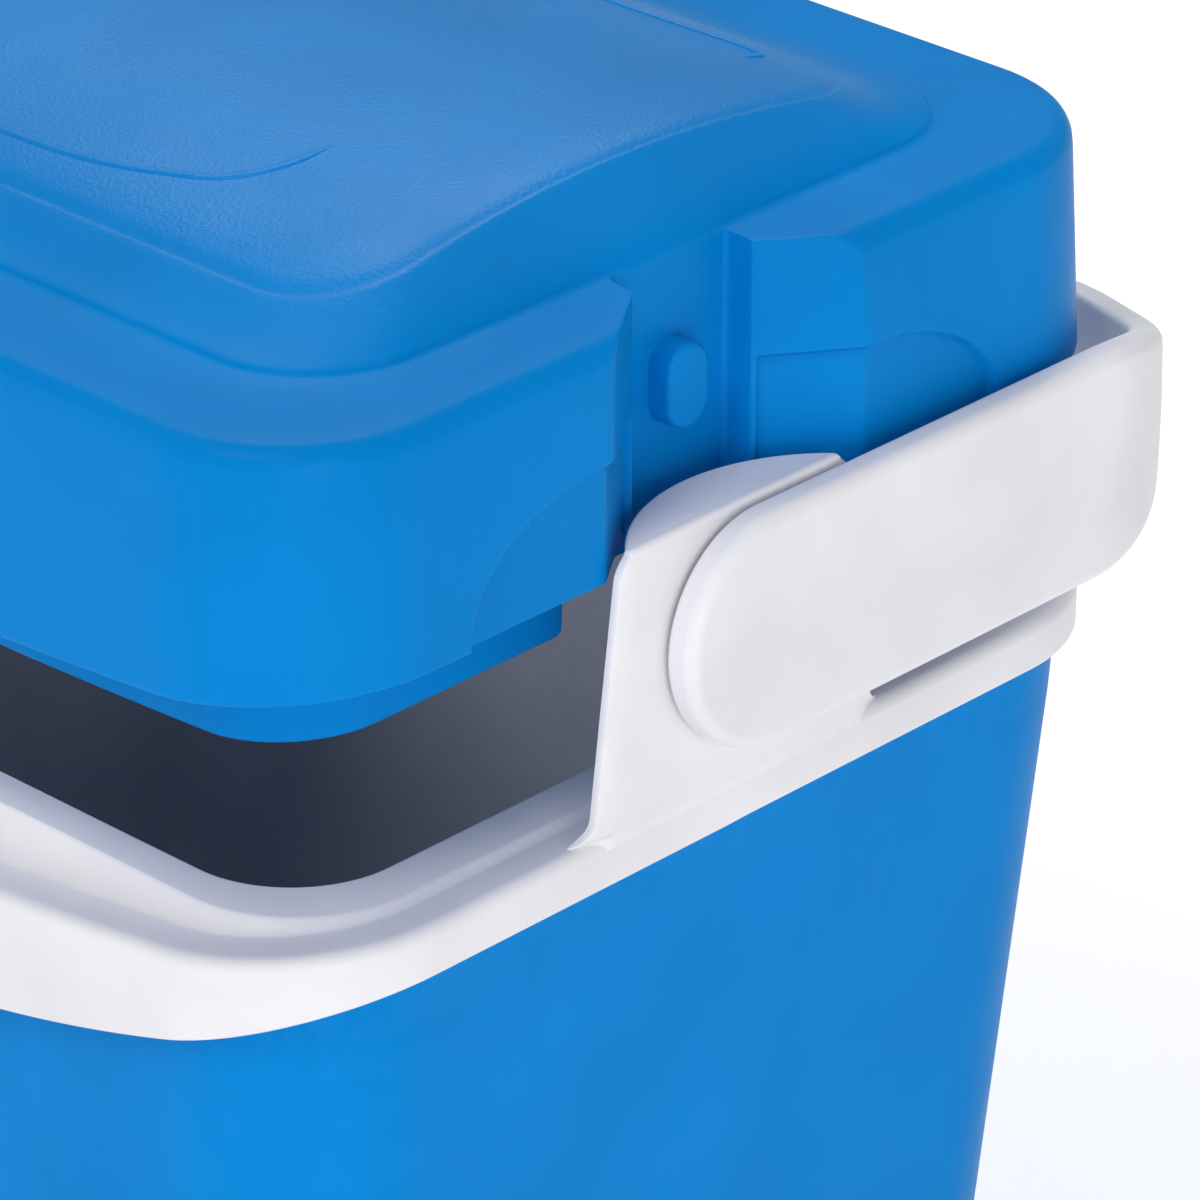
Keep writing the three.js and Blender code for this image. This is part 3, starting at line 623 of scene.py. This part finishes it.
def skirt_ring(z, inset=0.0, grow=0.0):
    """The skirt's outline at the height z. Only the front hangs lower, not the end slots."""
    lean = SKIRT_LEAN * max(z, 0) / SKIRT_TOP + inset + grow
    radius = LID_R - z / SKIRT_TOP - (inset + grow) * 0.6
    outline = lid_outline(LID_X - lean, LID_Y - lean, radius, z, grow)
    without_slots = outline.copy()
    ends = np.abs(outline[:, 1]) < LID_Y - LID_R
    without_slots[ends, 0] = LID_X - lean
    without_slots[:, 0] *= RIM_X / (LID_X - lean)
    drop = LID_DROP * front_share(without_slots) * (1 - z / SKIRT_TOP)
    return at_height(outline, LID_Z + z - drop)


def crown_ring(half_x, half_y, radius, z, arch):
    """The outline above the skirt, bent down towards the front and the rear by its arch."""
    outline = lid_outline(half_x, half_y, radius, z)
    return at_height(outline, LID_Z + z - arch * CROWN_CURVE * outline[:, 1] ** 2)


def lid_nub(shape, side):
    def ring(x, inset):
        r = NUB_HALF_WIDTH - inset
        rise = NUB_HALF_HEIGHT - NUB_HALF_WIDTH
        points = []
        for k, start in ((1, 0), (-1, math.pi)):
            for a in np.linspace(start, start + math.pi, 15):
                points.append((side * x, r * math.cos(a),
                               LID_Z + NUB_Z + k * rise + r * math.sin(a)))
        return np.array(points)

    flare = [ring(CHANNEL_X - 0.4 + 1.0 * t, -0.8 * (1 - t) ** 2) for t in np.linspace(0, 1, 5)]
    turn = [ring(NUB_FACE - NUB_ROUND * (1 - math.sin(a)), NUB_ROUND * (1 - math.cos(a)))
            for a in np.linspace(0, QUARTER, 8)]
    shape.loft([*flare, *turn])


def surface_line(points, surface, width, height):
    """A low rounded line that follows a surface from above."""
    rows = []
    path = smooth_rows(points, 10)
    for i, p in enumerate(path):
        before, after = path[max(i - 1, 0)], path[min(i + 1, len(path) - 1)]
        along = (after - before) / np.linalg.norm(after - before)
        across = np.array([-along[1], along[0]])
        fade = min(1, i / 6, (len(path) - 1 - i) / 6)
        row = []
        for a in np.linspace(0, math.pi, 9):
            x, y = p + across * math.cos(a) * width / 2 * (0.35 + 0.65 * fade)
            hit = surface.ray_cast(Vector((x, y, 1000)) * MM, Vector((0, 0, -1)))[0]
            row.append((x, y, hit.z / MM + math.sin(a) * height * fade - 0.03))
        rows.append(row)
    return rows


def lid_shell():
    shape = Shape()
    lip = 0.8
    arc = np.linspace(0, QUARTER, 5)
    rings = [
        skirt_ring(12, 0, LID_WALL),
        *[skirt_ring(z, 0, LID_WALL) for z in (8, 5, 2.5)],
        skirt_ring(0.4, 0, LID_WALL),
        skirt_ring(0, 0, LID_WALL - 0.4),
        *[skirt_ring(lip * (1 - math.cos(a)), lip * (1 - math.sin(a))) for a in arc],
        *[skirt_ring(z) for z in np.arange(1.4, 33, 0.7)],
        *[skirt_ring(z) for z in (36, 40, 44, 48)],
    ]
    for half_x, half_y, radius, z, arch in smooth_rows(LID_PROFILE, 7):
        rings.append(crown_ring(half_x, half_y, radius, z, arch))
    for half_x, half_y, radius, z in ((138, 75, 18, 82.95), (132, 69, 15, 83.05),
                                      (124, 62, 12, 83.15), (116, 56, 7, 83.25)):
        rings.append(crown_ring(half_x, half_y, radius, z, 1))
    start = rings[-1]
    for share in np.linspace(0.875, 0, 8):
        inner = start.copy()
        inner[:, :2] *= (0.12 + 0.88 * share, max(share, 0.02))
        inner[:, 2] = LID_Z + LID_CROWN - 0.15 * share - CROWN_CURVE * inner[:, 1] ** 2
        rings.append(inner)
    shape.loft(rings)
    top = BVHTree.FromPolygons([Vector(p) for p in shape.points], shape.faces)
    front = [(30, -78), (60, -76), (82, -70.5), (94, -65), (102, -54), (104.5, -39)]
    rear = [(40, 78), (84, 78.5), (103, 79.5), (120, 80.5), (128, 78), (127.5, 71)]
    for curve in (front, rear):
        mirrored = [(-x, y) for x, y in reversed(curve)]
        shape.strip(surface_line([*mirrored, *curve], top, LINE_WIDTH, LINE_HEIGHT))
    lid_nub(shape, 1)
    lid_nub(shape, -1)
    return shape.piece("lid_shell", "lid", blue_lid, ["lid_outer_shell"])


def lid_panel():
    shape = Shape()
    grow = LID_WALL + 0.3
    plate = []
    for z in (1.8, 4.3):
        outline = lid_outline(LID_X - grow, LID_Y - grow, LID_R - grow * 0.6, z, grow)
        plate.append(at_height(outline, LID_Z + z))
    shape.loft(plate)

    def plug(inset, z, drop):
        half_x, half_y, radius = PLUG[0] - inset, PLUG[1] - inset, PLUG[2] - inset * 0.6
        notch_y, notch_x = NOTCH_HALF + inset, NOTCH_X - inset
        points = rounded_path([
            (0, notch_x), (notch_y, notch_x), (notch_y, half_x), (half_y - radius, half_x),
        ], (3, 2))[:, ::-1]
        quarter = [(notch_x, points[1][1] * i / 5) for i in range(5)]
        quarter += [tuple(p) for p in points[1:-1]]
        for i in range(23):
            a = i / 22 * QUARTER
            quarter.append((half_x - radius + radius * math.cos(a),
                            half_y - radius + radius * math.sin(a)))
        quarter += [((half_x - radius) * (1 - i / 30), half_y) for i in range(1, 31)]
        outline = around(np.array(quarter))
        return at_height(outline, LID_Z + z - drop * front_share(outline))

    top = 2.4
    wall = PLUG_DEPTH + top - PLUG_ROUND
    side = [plug(PLUG_DRAFT * t, top - wall * t, PLUG_DROP * t) for t in np.linspace(0, 1, 10)]
    under = [plug(PLUG_DRAFT + PLUG_ROUND * (1 - math.cos(a)),
                  PLUG_ROUND * (1 - math.sin(a)) - PLUG_DEPTH, PLUG_DROP)
             for a in np.linspace(0, QUARTER, 7)[1:]]
    shape.loft([*side, *under, plug(9, -PLUG_DEPTH, PLUG_DROP), plug(26, -PLUG_DEPTH, 0)])
    return shape.piece("lid_plug", "lid", blue, ["lid_plug_panel"])


# ---- handle -----------------------------------------------------------------------------------
STRAP = 8.6
STRAP_ROUND = 3.6
ARM_WIDE = 30
GRIP_WIDE = 14
CORNER_R = 60
ARM_CROWN = 0.35                # how far the strap's outer face bulges
INNER_ROUND = 2.0
# (X, radius) along a peg, from the hub to the end of its head
PEG = [(199, 9), (185.1, 9), (185.1, 10.6), (183, 10.6), (181, 9)]


def half_section(wide):
    """Upper half of the strap's section as (towards the outside, up), outer face first."""
    flat = wide - STRAP_ROUND
    points = [(STRAP / 2 + ARM_CROWN, 0), (STRAP / 2 + ARM_CROWN * 0.7, flat * 0.5)]
    for a in np.linspace(0, QUARTER, 9):
        points.append((STRAP / 2 - STRAP_ROUND * (1 - math.cos(a)),
                       flat + STRAP_ROUND * math.sin(a)))
    for a in np.linspace(0, QUARTER, 5):
        points.append((-STRAP / 2 + INNER_ROUND * (1 - math.sin(a)),
                       wide - INNER_ROUND * (1 - math.cos(a))))
    return [*points, (-STRAP / 2, flat * 0.5), (-STRAP / 2, 0)]


def handle():
    shape = Shape()
    centre_x = ARM_X - STRAP / 2
    corner_x, corner_y = ARM_X - CORNER_R, GRIP_Y - CORNER_R
    stations = [((centre_x, corner_y * t), (1, 0), ARM_WIDE) for t in (0, 0.25, 0.5, 0.75, 0.9)]
    for i in range(41):
        a = i / 40 * QUARTER
        n = (math.cos(a), math.sin(a))
        reach = CORNER_R - STRAP / 2
        wide = ARM_WIDE + (GRIP_WIDE - ARM_WIDE) * float(smoothstep(i / 40 * 1.2))
        stations.append(((corner_x + n[0] * reach, corner_y + n[1] * reach), n, wide))
    stations += [((corner_x * t, GRIP_Y - STRAP / 2), (0, 1), GRIP_WIDE)
                 for t in (0.8, 0.6, 0.4, 0.2, 0)]
    stations += [((-c[0], c[1]), (-n[0], n[1]), w) for c, n, w in reversed(stations[:-1])]
    rings = []
    for c, n, wide in stations:
        upper = half_section(wide)
        lower = [(out, -up) for out, up in reversed(upper)][1:-1]
        rings.append([(c[0] + n[0] * out, c[1] + n[1] * out, PIVOT_Z + up)
                      for out, up in [*upper, *lower]])
    shape.loft(rings, caps=(False, False))
    section = half_section(ARM_WIDE)
    for side in (1, -1):
        rows = []
        for a in np.linspace(0, math.pi, 49):
            rows.append([(side * (centre_x + out), -up * math.sin(a), PIVOT_Z + up * math.cos(a))
                         for out, up in section])
        shape.strip(rows)
        shape.loft([[(side * x, r * math.cos(a), PIVOT_Z + r * math.sin(a))
                     for a in np.linspace(0, 2 * math.pi, 48, endpoint=False)] for x, r in PEG])
    return shape.piece("handle", "handle", white, ["carry_handle"])


tub_shell()
tub_liner()
collar()
lid_shell()
lid_panel()
handle()


# ---- floor and light ----------------------------------------------------------------------------
def add_floor():
    work = bmesh.new()
    bmesh.ops.create_grid(work, x_segments=8, y_segments=8, size=6)
    mesh = bpy.data.meshes.new("floor")
    work.to_mesh(mesh)
    work.free()
    material = bpy.data.materials.new("floor")
    material.use_nodes = True
    shader = material.node_tree.nodes["Principled BSDF"]
    shader.inputs["Base Color"].default_value = (0.9, 0.9, 0.9, 1)
    shader.inputs["Roughness"].default_value = 0.8
    shader.inputs["Emission Color"].default_value = (1, 1, 1, 1)
    shader.inputs["Emission Strength"].default_value = 0.35
    mesh.materials.append(material)
    floor = bpy.data.objects.new("floor", mesh)
    bpy.context.scene.collection.objects.link(floor)


def add_area(name, location, target, size, power):
    light = bpy.data.lights.new(name, "AREA")
    light.size = size
    light.energy = power
    lamp = bpy.data.objects.new(name, light)
    lamp.location = location
    lamp.visible_camera = False
    direction = Vector(target) - Vector(location)
    lamp.rotation_euler = direction.to_track_quat("-Z", "Y").to_euler()
    bpy.context.scene.collection.objects.link(lamp)


def add_world():
    world = bpy.data.worlds.new("studio")
    world.use_nodes = True
    background = world.node_tree.nodes["Background"]
    background.inputs["Color"].default_value = (1, 1, 1, 1)
    background.inputs["Strength"].default_value = 0.33
    bpy.context.scene.world = world
    bpy.context.scene.view_settings.view_transform = "Standard"


add_floor()
add_world()
# name, place and target in metres, size, power; the last one lights the tub's end wall inside
for lamp_values in (
        ("key", (0.6, -1.7, 2.5), (0, 0, 0.3), 1.0, 25),
        ("fill", (2.9, -1.6, 0.9), (0, 0, 0.25), 1.8, 35),
        ("top", (-1.0, 1.1, 2.4), (0, 0, 0.4), 1.4, 27),
        ("side", (-1.5, -1.8, 0.8), (0.12, 0, 0.32), 0.7, 4),
        ("inside", (-0.03, -0.02, 0.27), (0.17, 0.03, 0.24), 0.1, 0.06)):
    add_area(*lamp_values)
